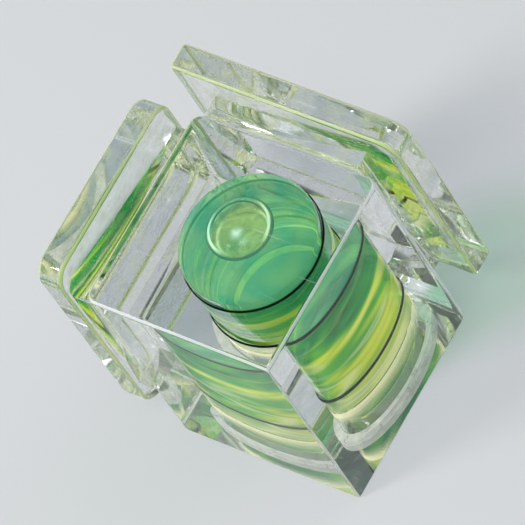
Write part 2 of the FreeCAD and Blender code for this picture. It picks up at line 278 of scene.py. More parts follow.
# %% Where the matt layer shows
EDGE_HIGHLIGHT_SHARE = 0.65
RECESS_SHARE = 0.6
WEAR_SHARE = 0.3
SCRATCH_SHARE = 0.2
SCRATCH_LENGTH = 6.0 * MM
SCRATCH_WIDTH = 0.12 * MM
SCRATCH_TURN = (0.6, 0.9, 0.4)

# Painted highlight: the matt layer on the rounded edges.
edges = add(tree, "ShaderNodeMath", {"operation": "MULTIPLY"}, i0=edge_mask, i1=EDGE_HIGHLIGHT_SHARE)
recess = add(tree, "ShaderNodeMath", {"operation": "MULTIPLY"}, i0=recess_mask, i1=RECESS_SHARE)
drawn_out = add(tree, "ShaderNodeMapping", Vector=place, Rotation=SCRATCH_TURN,
                Scale=(1 / SCRATCH_LENGTH, 1 / SCRATCH_WIDTH, 1 / SCRATCH_WIDTH))
hairs = add(tree, "ShaderNodeTexNoise", Vector=drawn_out, Scale=1.0, Detail=2.0)
scratches = add(tree, "ShaderNodeMapRange", Value=hairs, From_Min=0.68, From_Max=0.74,
                To_Max=SCRATCH_SHARE)
rubbed = add(tree, "ShaderNodeMapRange", Value=blotches, From_Min=0.45, From_Max=0.75, To_Max=WEAR_SHARE)
wear = add(tree, "ShaderNodeMath", {"operation": "MULTIPLY"}, i0=rubbed, i1=plate_mask)

share = edges
for layer in (recess, scratches, wear):
    share = add(tree, "ShaderNodeMath", {"operation": "MAXIMUM"}, i0=share, i1=layer)
surface = add(tree, "ShaderNodeMixShader", i0=share, i1=clear, i2=matt)
let_light_through(tree, output, surface, "#EDEFF1")
print(acrylic.name, "has", len(tree.nodes), "nodes")


# %% [markdown]
# ## Green spirit: the bands
#
# The liquid is mineral spirit with a fluorescent dye. Lit from above, it glows, and the round barrel
# and the flat faces round it fold that glow into level, wandering bands, yellow on green. The bands are
# painted light, not the liquid's own colour. They are painted brighter towards the floor of the vial,
# where the plug throws light back, and towards the lit side. Noise that is stretched sideways and bent
# by its own distortion makes such bands, and its lengths come from the photograph. Where the glow folds
# over sharply, a thin pale streak stands out, a painted highlight. It is drawn where a second, finer
# noise passes through its middle value. Close to the plug the liquid is painted cream, for the light
# that the plug throws back.

# %% Bands of the liquid
BAND_LENGTH = 13.0 * MM
BAND_HEIGHT = 2.8 * MM
BAND_TILT = (0.2, 0.12, 0.0)
BRIGHT_HEIGHT = 9.0 * MM
LOW_LIFT = 0.09
LIT_SIDE_LIFT = 0.04

spirit_liquid, tree, output, place = new_material("dyed_spirit")
height = add(tree, "ShaderNodeSeparateXYZ", Vector=place).outputs["Z"]
stretched = add(tree, "ShaderNodeMapping", Vector=place, Rotation=BAND_TILT,
                Scale=(1 / BAND_LENGTH, 1 / BAND_LENGTH, 1 / BAND_HEIGHT))
bands = add(tree, "ShaderNodeTexNoise", Vector=stretched, Scale=1.0, Detail=2.0, Distortion=0.7)
# Painted light: the bands are lifted towards the vial's floor and towards the lit side.
low_down = add(tree, "ShaderNodeMapRange", Value=height, From_Min=SPIRIT_LOW,
               From_Max=SPIRIT_LOW + BRIGHT_HEIGHT, To_Min=LOW_LIFT, To_Max=-LOW_LIFT)
lit_side = add(tree, "ShaderNodeVectorMath", {"operation": "DOT_PRODUCT"}, i0=place,
               i1=(LIT_SIDE_LIFT / BARREL_RADIUS, LIT_SIDE_LIFT / BARREL_RADIUS / 2, 0.0)).outputs["Value"]
lifted = bands
for lift in (low_down, lit_side):
    lifted = add(tree, "ShaderNodeMath", {"operation": "ADD"}, i0=lifted, i1=lift)
band_colour = add(tree, "ShaderNodeValToRGB", {"stops": {
    0.35: "#006434", 0.45: "#0C9040", 0.54: "#58B41C", 0.62: "#E0EC28", 0.76: "#FFFFA8"}}, Fac=lifted)
print(spirit_liquid.name, "bands", round(BAND_HEIGHT / MM, 2), "mm high")

# %% Streaks on the bands
STREAK_LENGTH = 12.0 * MM
STREAK_HEIGHT = 2.0 * MM
STREAK_TILT = (-0.3, 0.25, 0.0)
STREAK_HALF = 0.07
STREAK_SHARE = 0.8
HIGH_STREAK_SHARE = 0.1
CREAM_ABOVE = 0.8 * MM
CREAM_SHARE = 0.6

tilted = add(tree, "ShaderNodeMapping", Vector=place, Rotation=STREAK_TILT,
             Scale=(1 / STREAK_LENGTH, 1 / STREAK_LENGTH, 1 / STREAK_HEIGHT))
folds = add(tree, "ShaderNodeTexNoise", Vector=tilted, Scale=1.0, Detail=1.0, Distortion=0.3)
above_middle = add(tree, "ShaderNodeMath", {"operation": "SUBTRACT"}, i0=folds, i1=0.5)
off_middle = add(tree, "ShaderNodeMath", {"operation": "ABSOLUTE"}, i0=above_middle)
thin = add(tree, "ShaderNodeMapRange", {"interpolation_type": "SMOOTHSTEP"}, Value=off_middle,
           From_Max=STREAK_HALF, To_Min=1.0, To_Max=0.0)
fading = add(tree, "ShaderNodeMapRange", Value=height, From_Min=SPIRIT_LOW,
             From_Max=SPIRIT_LOW + BRIGHT_HEIGHT, To_Min=STREAK_SHARE, To_Max=HIGH_STREAK_SHARE)
streaks = add(tree, "ShaderNodeMath", {"operation": "MULTIPLY"}, i0=thin, i1=fading)
# Painted highlights: the pale streaks.
streaked = add(tree, "ShaderNodeMix", {"data_type": "RGBA"}, i0=streaks,
               i6=band_colour, i7=linear("#FFFFC0"))
# Painted light: cream close to the plug.
near_plug = add(tree, "ShaderNodeMapRange", {"interpolation_type": "SMOOTHSTEP"}, Value=height,
                From_Min=SPIRIT_LOW, From_Max=LOWER_LINE_TOP + CREAM_ABOVE, To_Min=CREAM_SHARE,
                To_Max=0.0)
wall_colour = add(tree, "ShaderNodeMix", {"data_type": "RGBA"}, i0=near_plug,
                  i6=streaked, i7=linear("#F6F4A4"))
print(spirit_liquid.name, "streaks about every", round(STREAK_HEIGHT / MM, 2), "mm")

# %% [markdown]
# ## Green spirit: dome and floor
#
# The dome shows the liquid from above, where it is blue-green in soft swirls. The liquid's flat floor
# is painted a paler green, as painted light of the plug that comes up through it. Two masks by height
# pick them out. The first has a soft border at the upper black line. Each part gets a hue for its
# matt glow and a tint for the glass itself.

# %% Colours of the dome and the floor
DOME_BLEND = 1.0 * MM
JUST_ABOVE = 0.01 * MM
SWIRL_LENGTH = 4.2 * MM

dome = add(tree, "ShaderNodeMapRange", {"interpolation_type": "SMOOTHSTEP"}, Value=height,
           From_Min=UPPER_LINE_LOW - DOME_BLEND / 2, From_Max=UPPER_LINE_LOW + DOME_BLEND)
floor_mask = add(tree, "ShaderNodeMath", {"operation": "LESS_THAN"}, i0=height, i1=SPIRIT_LOW + JUST_ABOVE)
swirls = add(tree, "ShaderNodeTexNoise", Vector=place, Scale=1 / SWIRL_LENGTH, Detail=1.0, Distortion=1.0)
dome_colour = add(tree, "ShaderNodeValToRGB", {"stops": {0.36: "#54C8A0", 0.62: "#9CE2A4"}}, Fac=swirls)
dome_tint = add(tree, "ShaderNodeValToRGB", {"stops": {0.36: "#A8EACC", 0.62: "#D4F4BC"}}, Fac=swirls)
upper_colour = add(tree, "ShaderNodeMix", {"data_type": "RGBA"}, i0=dome, i6=wall_colour, i7=dome_colour)
# The floor's paler green is painted light of the plug.
hue = add(tree, "ShaderNodeMix", {"data_type": "RGBA"}, i0=floor_mask, i6=upper_colour, i7=linear("#60B888"))
upper_tint = add(tree, "ShaderNodeMix", {"data_type": "RGBA"}, i0=dome,
                 i6=linear("#74B484"), i7=dome_tint)
tint = add(tree, "ShaderNodeMix", {"data_type": "RGBA"}, i0=floor_mask, i6=upper_tint, i7=linear("#84A474"))
print(spirit_liquid.name, "dome starts at", round((UPPER_LINE_LOW - DOME_BLEND / 2) / MM, 2), "mm")

# %% [markdown]
# ## Green spirit: surface and depth
#
# The liquid touches acrylic, not air, so its surface bends light by the ratio of the two indices, a
# little below one. The dye swallows red and a little blue along the way. That is a volume, and it
# makes deep places cooler. The glow itself is painted: a matt shader with its own emission over the
# glass, strong on the barrel and faint on dome and floor. Where the wall is seen at a flat angle it
# acts as a mirror and lets less of the glow out, which the layer weight takes care of.

# %% Surface and depth of the liquid
SPIRIT_IOR = 1.45
WALL_SHARE = 0.75
DOME_SHARE = 0.3
FLAT_VIEW_SHARE = 0.5
GLOW_STRENGTH = 0.34
DYE_COLOUR = (0.55, 0.97, 0.86, 1.0)
DYE_DENSITY = 60.0

clear = add(tree, "ShaderNodeBsdfPrincipled", Base_Color=tint, IOR=SPIRIT_IOR / ACRYLIC_IOR,
            Transmission_Weight=1.0, Roughness=0.0)
# Painted glow: the liquid shines by emission in its own hue.
glow = add(tree, "ShaderNodeBsdfPrincipled", Base_Color=hue, IOR=1.0, Roughness=1.0,
           Emission_Color=hue, Emission_Strength=GLOW_STRENGTH)
level_part = add(tree, "ShaderNodeMath", {"operation": "MAXIMUM"}, i0=dome, i1=floor_mask)
by_part = add(tree, "ShaderNodeMapRange", Value=level_part, To_Min=WALL_SHARE, To_Max=DOME_SHARE)
turned_away = add(tree, "ShaderNodeLayerWeight", Blend=0.5).outputs["Facing"]
let_out = add(tree, "ShaderNodeMapRange", {"interpolation_type": "SMOOTHSTEP"}, Value=turned_away,
              From_Min=0.35, From_Max=0.7, To_Min=1.0, To_Max=FLAT_VIEW_SHARE)
share = add(tree, "ShaderNodeMath", {"operation": "MULTIPLY"}, i0=by_part, i1=let_out)
surface = add(tree, "ShaderNodeMixShader", i0=share, i1=clear, i2=glow)
let_light_through(tree, output, surface, "#DCF4E0")

dye = add(tree, "ShaderNodeVolumeAbsorption", Color=DYE_COLOUR, Density=DYE_DENSITY)
tree.links.new(dye.outputs["Volume"], output.inputs["Volume"])
print(spirit_liquid.name, "has", len(tree.nodes), "nodes")


# %% [markdown]
# ## The air bubble
#
# The bubble is plain air, so light that leaves the spirit for it bends the other way. Its rim turns
# light so far that a real bubble shows a thin dark line there, with a bright crescent inside it on
# two sides and a second dark line where its lower skin is seen through the upper one. At this size
# those lines are thinner than a pixel if glass alone makes them. They are therefore painted on by the
# distance from the bubble's own axis, the dark lines as painted shade and the crescents as painted
# highlights, over glass that still bends what lies under the bubble.

# %% Places on the bubble
CRESCENT_AZIMUTH = math.radians(39.7)

air, tree, output, place = new_material("air")
level = add(tree, "ShaderNodeVectorMath", {"operation": "MULTIPLY"}, i0=place, i1=(1.0, 1.0, 0.0))
from_axis = add(tree, "ShaderNodeVectorMath", {"operation": "SUBTRACT"}, i0=level, i1=(*BUBBLE_AXIS, 0.0))
distance = add(tree, "ShaderNodeVectorMath", {"operation": "LENGTH"}, i0=from_axis).outputs["Value"]
part = add(tree, "ShaderNodeMath", {"operation": "DIVIDE"}, i0=distance, i1=BUBBLE_RADIUS)
parts_along = []
for azimuth in (CRESCENT_AZIMUTH, CRESCENT_AZIMUTH + math.pi / 2):
    unit = Vector((math.cos(azimuth), math.sin(azimuth), 0)) / BUBBLE_RADIUS
    along = add(tree, "ShaderNodeVectorMath", {"operation": "DOT_PRODUCT"}, i0=from_axis, i1=unit)
    parts_along.append(along.outputs["Value"])
crescent_way, upper_way = parts_along
print("bubble radius in mm:", round(BUBBLE_RADIUS / MM, 2))

# %% Dark lines and bright crescents
RIM_START = 0.93
RIM_SOFTNESS = 0.03
CRESCENT_AT = 0.885
CRESCENT_HALF = 0.036
SECOND_LINE_AT = 0.79
SECOND_LINE_HALF = 0.025

two_sides = add(tree, "ShaderNodeMath", {"operation": "ABSOLUTE"}, i0=crescent_way)
lit = add(tree, "ShaderNodeMapRange", {"interpolation_type": "SMOOTHSTEP"}, Value=two_sides,
          From_Min=0.5, From_Max=0.85)
upper_side = add(tree, "ShaderNodeMapRange", {"interpolation_type": "SMOOTHSTEP"}, Value=upper_way,
                 From_Min=0.1, From_Max=0.5)
rim_line = add(tree, "ShaderNodeMapRange", Value=part, From_Min=RIM_START,
               From_Max=RIM_START + RIM_SOFTNESS)
whole_line = add(tree, "ShaderNodeMath", {"operation": "COMPARE"}, i0=part, i1=SECOND_LINE_AT,
                 i2=SECOND_LINE_HALF)
second_line = add(tree, "ShaderNodeMath", {"operation": "MULTIPLY"}, i0=whole_line, i1=upper_side)
dark = add(tree, "ShaderNodeMath", {"operation": "MAXIMUM"}, i0=rim_line, i1=second_line)
crescent = add(tree, "ShaderNodeMath", {"operation": "COMPARE"}, i0=part, i1=CRESCENT_AT, i2=CRESCENT_HALF)
bright = add(tree, "ShaderNodeMath", {"operation": "MULTIPLY"}, i0=crescent, i1=lit)
print("crescents at", round(CRESCENT_AT * BUBBLE_RADIUS / MM, 2), "mm from the bubble's axis")

# %% [markdown]
# ## The air bubble: inside and lamp spot
#
# Through the bubble the eye sees the green below it, folded into olive and yellow patches, which are
# painted. A soft pale spot on it is a painted reflection of the lamp that the bubble's round top
# mirrors. A cloud noise makes the patches, and makes the spot's border ragged.

# %% Inside, lamp spot and surface of the bubble
CLOUD_LENGTH = 1.6 * MM
LAMP_SPOT = Vector((0.25, -0.55)) * MM
LAMP_SPOT_RADIUS = 0.65 * MM
SPOT_CORE = 0.4
SPOT_BORDER = 1.6
RAGGEDNESS = 1.2
INSIDE_SHARE = 0.5
SPARKLE = 0.55

from_spot = add(tree, "ShaderNodeVectorMath", {"operation": "DISTANCE"}, i0=from_axis, i1=(*LAMP_SPOT, 0.0))
cloud = add(tree, "ShaderNodeTexNoise", Vector=place, Scale=1 / CLOUD_LENGTH, Detail=2.0, Distortion=1.5)
inside = add(tree, "ShaderNodeValToRGB", {"stops": {0.38: "#B89C3C", 0.62: "#FFEC98"}}, Fac=cloud)
ragged = add(tree, "ShaderNodeMath", {"operation": "MULTIPLY_ADD"}, i0=cloud,
             i1=RAGGEDNESS * LAMP_SPOT_RADIUS, i2=from_spot.outputs["Value"])
spot = add(tree, "ShaderNodeMapRange", {"interpolation_type": "SMOOTHSTEP"}, Value=ragged,
           From_Min=SPOT_CORE * LAMP_SPOT_RADIUS, From_Max=SPOT_BORDER * LAMP_SPOT_RADIUS,
           To_Min=1.0, To_Max=0.0)
with_spot = add(tree, "ShaderNodeMix", {"data_type": "RGBA"}, i0=spot, i6=inside, i7=linear("#E6E0FC"))
with_dark = add(tree, "ShaderNodeMix", {"data_type": "RGBA"}, i0=dark, i6=with_spot, i7=linear("#020A04"))
paint = add(tree, "ShaderNodeMix", {"data_type": "RGBA"}, i0=bright, i6=with_dark, i7=linear("#FFFFF4"))
# Painted highlights: the crescents and the lamp spot also glow by emission.
shining = add(tree, "ShaderNodeMath", {"operation": "MAXIMUM"}, i0=bright, i1=spot)
sparkle = add(tree, "ShaderNodeMath", {"operation": "MULTIPLY"}, i0=shining, i1=SPARKLE)
clear = add(tree, "ShaderNodeBsdfPrincipled", Base_Color=linear("#F6F8D0"), IOR=1 / SPIRIT_IOR,
            Transmission_Weight=1.0, Roughness=0.0)
matt = add(tree, "ShaderNodeBsdfPrincipled", Base_Color=paint, IOR=1.0, Roughness=1.0,
           Emission_Color=linear("#FFFFF4"), Emission_Strength=sparkle)
marked = add(tree, "ShaderNodeMath", {"operation": "MAXIMUM"}, i0=dark, i1=shining)
share = add(tree, "ShaderNodeMapRange", Value=marked, To_Min=INSIDE_SHARE, To_Max=1.0)
surface = add(tree, "ShaderNodeMixShader", i0=share, i1=clear, i2=matt)
let_light_through(tree, output, surface, "#FFFFFF")
print(air.name, "has", len(tree.nodes), "nodes")


# %% [markdown]
# ## Black lacquer
#
# The two lines round the barrel are lacquer, set into the wall. Lacquer is glossy in air, but this
# one lies between acrylic and spirit, which are about as dense as it is, so hardly any gloss is left.
# The index is therefore close to one, and a grain keeps the black from being perfectly even. The
# grain of the real lacquer is far too fine to show, so it is drawn much coarser.

# %% Make the lacquer
LACQUER_GRAIN = 0.2 * MM
LACQUER_IOR = 1.05

black_lacquer, tree, output, place = new_material("black_lacquer")
grain = add(tree, "ShaderNodeTexNoise", Vector=place, Scale=1 / LACQUER_GRAIN)
dull = add(tree, "ShaderNodeMapRange", Value=grain, To_Min=0.6, To_Max=0.9)
paint = add(tree, "ShaderNodeBsdfPrincipled", Base_Color=linear("#0A140C"), Roughness=dull, IOR=LACQUER_IOR)
tree.links.new(paint.outputs["BSDF"], output.inputs["Surface"])
print(black_lacquer.name, "has", len(tree.nodes), "nodes")


# %% [markdown]
# ## Cured cement
#
# A ring of cement seals the plug. It cures milky and full of tiny voids, so it scatters light instead
# of letting a picture through. The voids don't show, but the clouds that they form do. About half
# transmission, a rough, cloudy surface and a trace of painted glow, by emission, for the vial's light
# give that veil. An index close to one again stands for a border with acrylic, not with air.

# %% Make the cement
CEMENT_CLOUD = 0.9 * MM
CEMENT_IOR = 1.02
CEMENT_CLEARNESS = 0.45
CEMENT_GLOW = 0.08

cured_cement, tree, output, place = new_material("cured_cement")
cloud = add(tree, "ShaderNodeTexNoise", Vector=place, Scale=1 / CEMENT_CLOUD, Detail=3.0)
haze = add(tree, "ShaderNodeMapRange", Value=cloud, From_Min=0.35, From_Max=0.7, To_Min=0.25, To_Max=0.6)
milk = add(tree, "ShaderNodeValToRGB", {"stops": {0.3: "#D4D4CC", 0.65: "#F8F6EA"}}, Fac=cloud)
# Painted glow: a trace of emission in the cement's milky colour.
glue = add(tree, "ShaderNodeBsdfPrincipled", Base_Color=milk, IOR=CEMENT_IOR,
           Transmission_Weight=CEMENT_CLEARNESS, Roughness=haze, Emission_Color=milk,
           Emission_Strength=CEMENT_GLOW)
let_light_through(tree, output, glue, "#E4EDE2")
print(cured_cement.name, "has", len(tree.nodes), "nodes")


# %% [markdown]
# ## Turned acrylic
#
# The plug is a disc of the same acrylic, turned on a lathe and pressed into the barrel. Its flat ends
# nearly vanish between the liquid and the block. Its side is where the glow of the vial ends: it is
# painted as a cream glow, by emission, just under the liquid, and that painted light clears towards
# the cement, where the dished underside shows through it as an oval. The lathe's marks make that
# fading uneven. They are far finer than a pixel, so they are drawn much coarser. One mask picks the
# side out by its distance from the vial's axis.

# %% Make the plug's acrylic
LATHE_MARK_LENGTH = 7.0 * MM
LATHE_MARK_HEIGHT = 0.6 * MM
SIDE_DEPTH = 0.02 * MM
CLEAR_HEIGHT = 1.0 * MM
PLUG_IOR = 0.985
PLUG_SHARE = 0.9
PLUG_GLOW = 0.4

turned_acrylic, tree, output, place = new_material("turned_acrylic")
level = add(tree, "ShaderNodeVectorMath", {"operation": "MULTIPLY"}, i0=place, i1=(1.0, 1.0, 0.0))
from_axis = add(tree, "ShaderNodeVectorMath", {"operation": "DISTANCE"}, i0=level, i1=(*VIAL_AXIS, 0.0))
side = add(tree, "ShaderNodeMath", {"operation": "GREATER_THAN"}, i0=from_axis.outputs["Value"],
           i1=PLUG_RADIUS - SIDE_DEPTH)
height = add(tree, "ShaderNodeSeparateXYZ", Vector=place).outputs["Z"]
fading = add(tree, "ShaderNodeMapRange", {"interpolation_type": "SMOOTHSTEP"}, Value=height,
             From_Min=CEMENT_TOP + CLEAR_HEIGHT, From_Max=PLUG_TOP, To_Max=PLUG_SHARE)
stretched = add(tree, "ShaderNodeMapping", Vector=place,
                Scale=(1 / LATHE_MARK_LENGTH, 1 / LATHE_MARK_LENGTH, 1 / LATHE_MARK_HEIGHT))
marks = add(tree, "ShaderNodeTexNoise", Vector=stretched, Scale=1.0, Detail=3.0)
uneven = add(tree, "ShaderNodeMapRange", Value=marks, From_Min=0.3, From_Max=0.7, To_Min=0.6)
share = side
for factor in (fading, uneven):
    share = add(tree, "ShaderNodeMath", {"operation": "MULTIPLY"}, i0=share, i1=factor)
clear = add(tree, "ShaderNodeBsdfPrincipled", Base_Color=linear("#F2F6F2"), IOR=PLUG_IOR,
            Transmission_Weight=1.0, Roughness=0.0)
# Painted glow: the cream side shines by emission.
matt = add(tree, "ShaderNodeBsdfPrincipled", Base_Color=linear("#F8F6C8"), IOR=1.0, Roughness=1.0,
           Emission_Color=linear("#FCF4B4"), Emission_Strength=PLUG_GLOW)
surface = add(tree, "ShaderNodeMixShader", i0=share, i1=clear, i2=matt)
let_light_through(tree, output, surface, "#FFFFFF")
print(turned_acrylic.name, "has", len(tree.nodes), "nodes")


# %% [markdown]
# ## The block's skin: which surfaces are there
#
# In the solids, block and liquid each have a surface of their own along the cavity's wall. For light
# there is only one surface there, from acrylic to spirit. If both were kept, a ray would see acrylic,
# a sliver of air and then spirit, and the vial would shine like a mirror. So the cavity's faces are
# deleted from a copy of the block's mesh, and the liquid's own surface, with its index relative to
# acrylic, does all the bending. The same goes for the plug and the cement. What stays open is the
# round hole in the bottom face. It is closed again by the plug's underside, which is dished: rings
# that are extruded from the hole's edge, and a flat cap, make that recess with its rounded corner, and
# block and plug become one skin there.

# %% Helper that finishes a piece
def finish_piece(data, name, material, node_names):
    """Make the mesh a piece of the object, in place of the named solids."""
    piece = bpy.data.objects.new(name, data)
    scene.collection.objects.link(piece)
    data.materials.clear()
    data.materials.append(material)
    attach(piece, "root")
    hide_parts(*node_names)
    print(name, "has", len(data.polygons), "faces")


def from_vial(point):
    """Distance of a point from the vial's axis."""
    return (point.xy - VIAL_AXIS).length


print("cavity reaches", round(CEMENT_RADIUS / MM, 2), "mm from the vial's axis")

# %% Take the cavity out and close the bottom
SAME_PLACE = 1e-7
CAVITY_MARGIN = 0.1 * MM
BELOW_TOP_FACE = 0.9
RECESS_WALL = 0.67 * MM
RECESS_RADIUS = PLUG_RADIUS - RECESS_WALL
RECESS_DEPTH = 1.2 * MM
RECESS_ROUND = 0.25 * MM
RECESS_ROUND_STEPS = 4

skin = bmesh.new()
skin.from_mesh(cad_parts["block"].data)
bmesh.ops.remove_doubles(skin, verts=skin.verts, dist=SAME_PLACE)


def in_cavity(face):
    """Whether all of a face's corners lie in the vial's cavity."""
    return all(from_vial(vert.co) < CEMENT_RADIUS + CAVITY_MARGIN
               and vert.co.z < cad_high.z * BELOW_TOP_FACE for vert in face.verts)


bmesh.ops.delete(skin, geom=[face for face in skin.faces if in_cavity(face)], context="FACES")
rim = [edge for edge in skin.edges if edge.is_boundary]
steps = [(RECESS_RADIUS, 0.0), (RECESS_RADIUS, RECESS_DEPTH - RECESS_ROUND)]
for i in range(1, RECESS_ROUND_STEPS + 1):
    angle = math.pi / 2 * i / RECESS_ROUND_STEPS
    steps.append((RECESS_RADIUS - RECESS_ROUND * (1 - math.cos(angle)),
                  RECESS_DEPTH - RECESS_ROUND * (1 - math.sin(angle))))
for radius, height in steps:
    made = bmesh.ops.extrude_edge_only(skin, edges=rim)["geom"]
    rim = [item for item in made if isinstance(item, bmesh.types.BMEdge)]
    for vert in [item for item in made if isinstance(item, bmesh.types.BMVert)]:
        outward = (vert.co.xy - VIAL_AXIS).normalized() * radius
        vert.co = (*(VIAL_AXIS + outward), height)
bmesh.ops.contextual_create(skin, geom=rim)
bmesh.ops.recalc_face_normals(skin, faces=skin.faces)
print("open edges of the skin:", sum(not edge.is_manifold for edge in skin.edges))

# %% [markdown]
# ## The block's skin: masks and shading
#
# The solids come as triangles. A rounded edge is a row of long, thin ones that lean, so a triangle's
# area over its longest side, which is half its height, tells edges from faces. The middle of each
# round, where a triangle leans both ways, catches the light, and there the acrylic paints its edge
# highlight. The three masks are stored as attributes of the corners, which the acrylic reads by name.
# Weighted normals then take each corner's shading from the large flat face next to it, which keeps
# flat faces flat up to their rounded edges.

# %% Fill the masks and shade the skin
NARROW = 0.1 * MM
LEANING = 0.9
BLOCK_SIDE = 15.1 * MM
SHARP_ANGLE = math.radians(40)
LARGE_FACES_FIRST = 100

mesh = bpy.data.meshes.new("block_skin")
skin.to_mesh(mesh)
skin.free()
mesh.polygons.foreach_set("use_smooth", [True] * len(mesh.polygons))
mesh.set_sharp_from_angle(angle=SHARP_ANGLE)
for name in ("round", "recess", "plate"):
    mesh.attributes.new(name, "FLOAT", "CORNER")

plates_from = Vector((cad_high.x - BLOCK_SIDE, cad_low.y + BLOCK_SIDE))
edge_count = 0
for polygon in mesh.polygons:
    points = [mesh.vertices[i].co for i in polygon.vertices]
    longest = max((a - b).length for a, b in zip(points, points[1:] + points[:1]))
    leans = max(abs(value) for value in polygon.normal) < LEANING
    in_recess = all(from_vial(point) < RECESS_RADIUS + SAME_PLACE for point in points)
    on_edge = leans and not in_recess and polygon.area / longest < NARROW
    masks = {"round": on_edge,
             "recess": in_recess and polygon.normal.z > -LEANING,
             "plate": polygon.center.x < plates_from.x or polygon.center.y > plates_from.y}
    edge_count += on_edge
    for name, value in masks.items():
        for corner in polygon.loop_indices:
            mesh.attributes[name].data[corner].value = float(value)

worker = bpy.data.objects.new("worker", mesh)
scene.collection.objects.link(worker)
weighted = worker.modifiers.new("weighted", "WEIGHTED_NORMAL")
weighted.keep_sharp = True
weighted.weight = LARGE_FACES_FIRST
mesh = bpy.data.meshes.new_from_object(worker.evaluated_get(bpy.context.evaluated_depsgraph_get()))
bpy.data.objects.remove(worker)
finish_piece(mesh, "block_skin", acrylic, ["block"])
print("faces on lit edges:", edge_count)


# %% [markdown]
# ## Pieces turned about an axis
#
# Liquid, bubble, plug and cement are all round. Each could be a primitive that is scaled and cut, but
# a profile of radius and height, turned about the axis, gives the exact outline with even faces and
# no boolean. A profile that starts and ends on the axis closes by itself at its poles. One that comes
# back to its first point closes to a ring.

# %% Helpers for turned pieces
TURN_STEPS = 160


def turned(name, profile, axis=VIAL_AXIS):
    """A closed mesh from a profile of radius and height. A radius of 0 gives a pole."""
    shape = bmesh.new()
    is_ring = profile[0] == profile[-1]
    rows = []
    for radius, height in profile[:-1] if is_ring else profile:
        angles = [math.tau * i / TURN_STEPS for i in range(TURN_STEPS if radius else 1)]
        rows.append([shape.verts.new((axis.x + radius * math.cos(angle),
                                      axis.y + radius * math.sin(angle), height)) for angle in angles])
    if is_ring:
        rows.append(rows[0])
    for low, high in zip(rows, rows[1:]):
        for i in range(TURN_STEPS):
            corners = [low[i % len(low)], low[(i + 1) % len(low)],
                       high[(i + 1) % len(high)], high[i % len(high)]]
            shape.faces.new(list(dict.fromkeys(corners)))
    bmesh.ops.recalc_face_normals(shape, faces=shape.faces)
    data = bpy.data.meshes.new(name)
    shape.to_mesh(data)
    shape.free()
    data.polygons.foreach_set("use_smooth", [True] * len(data.polygons))
    data.set_sharp_from_angle(angle=SHARP_ANGLE)
    return data


def arc(centre, radius, first, last, count):
    """Points on an arc. The angles are in degrees, from the outward direction."""
    angles = [math.radians(first + (last - first) * i / count) for i in range(count + 1)]
    return [(centre[0] + radius * math.cos(angle), centre[1] + radius * math.sin(angle)) for angle in angles]


print("one step of a turned piece is", round(math.tau * BARREL_RADIUS / TURN_STEPS / MM, 3), "mm")

# %% [markdown]
# ## The column of spirit
#
# The liquid fills the cavity: a flat floor on the plug, a straight barrel, a tight round shoulder and
# a shallow dome, whose highest point is where the bubble floats when the block is level. The dome's
# arc and the shoulder's arc touch without a kink. The angle at which they meet follows from the two
# radii, so it is worked out and not typed.

# %% Turn the liquid
DOME_RADIUS = 7.57 * MM
SHOULDER_RADIUS = 0.77 * MM
FOOT_ROUND = 0.15 * MM
SMALL_ARC_STEPS = 4
SHOULDER_STEPS = 12
CAP_STEPS = 32

dome_centre = SPIRIT_TOP - DOME_RADIUS
shoulder_x = BARREL_RADIUS - SHOULDER_RADIUS
shoulder_z = dome_centre + math.sqrt((DOME_RADIUS - SHOULDER_RADIUS) ** 2 - shoulder_x ** 2)
meeting = math.degrees(math.atan2(shoulder_z - dome_centre, shoulder_x))
foot = arc((BARREL_RADIUS - FOOT_ROUND, SPIRIT_LOW + FOOT_ROUND), FOOT_ROUND, -90, 0,
           SMALL_ARC_STEPS)
shoulder = arc((shoulder_x, shoulder_z), SHOULDER_RADIUS, 0, meeting, SHOULDER_STEPS)
cap = arc((0, dome_centre), DOME_RADIUS, meeting, 90, CAP_STEPS)[1:-1]
profile = [(0, SPIRIT_LOW)] + foot + shoulder + cap + [(0, SPIRIT_TOP)]
finish_piece(turned("spirit_column", profile), "spirit_column", spirit_liquid, ["spirit"])
print("shoulder and dome meet at", round(meeting, 1), "degrees")

# %% [markdown]
# ## The bubble
#
# Surface tension rounds the bubble's side, and the dome above it and its own buoyancy flatten it, so
# its profile is half an ellipse. It is a closed shape inside the liquid, with normals that point out
# of the air, which is what its index of less than one is made for.

# %% Turn the bubble
BUBBLE_STEPS = 40

bubble_z = (BUBBLE_LOW + BUBBLE_TOP) / 2
bubble_half = (BUBBLE_TOP - BUBBLE_LOW) / 2
angles = [math.radians(-90 + 180 * i / BUBBLE_STEPS) for i in range(1, BUBBLE_STEPS)]
side = [(BUBBLE_RADIUS * math.cos(angle), bubble_z + bubble_half * math.sin(angle)) for angle in angles]
profile = [(0, BUBBLE_LOW)] + side + [(0, BUBBLE_TOP)]
finish_piece(turned("air_bubble", profile, BUBBLE_AXIS), "air_bubble", air, ["bubble"])
print("bubble is", round(2 * bubble_half / MM, 2), "mm high")

# %% [markdown]
# ## Plug and cement
#
# The plug fills the barrel's foot, and the ring of cement lies round it, between plug and block. Both
# stay a hair inside the skin and off each other, because two glass surfaces in exactly the same place
# flicker in a path tracer. The gaps are far too small to see.

# %% Turn the plug and the ring of cement
INSET = 0.02 * MM
CEMENT_GAP = 0.06 * MM

over_recess = arc((RECESS_RADIUS - RECESS_ROUND, RECESS_DEPTH - RECESS_ROUND), RECESS_ROUND + INSET, 90, 0,
                  SMALL_ARC_STEPS)
profile = [(0, RECESS_DEPTH + INSET)] + over_recess
profile += [(RECESS_RADIUS + INSET, PLUG_LOW + INSET), (PLUG_RADIUS, PLUG_LOW + INSET),
            (PLUG_RADIUS, PLUG_TOP), (0, PLUG_TOP)]
finish_piece(turned("plug_disc", profile), "plug_disc", turned_acrylic, ["end_plug"])

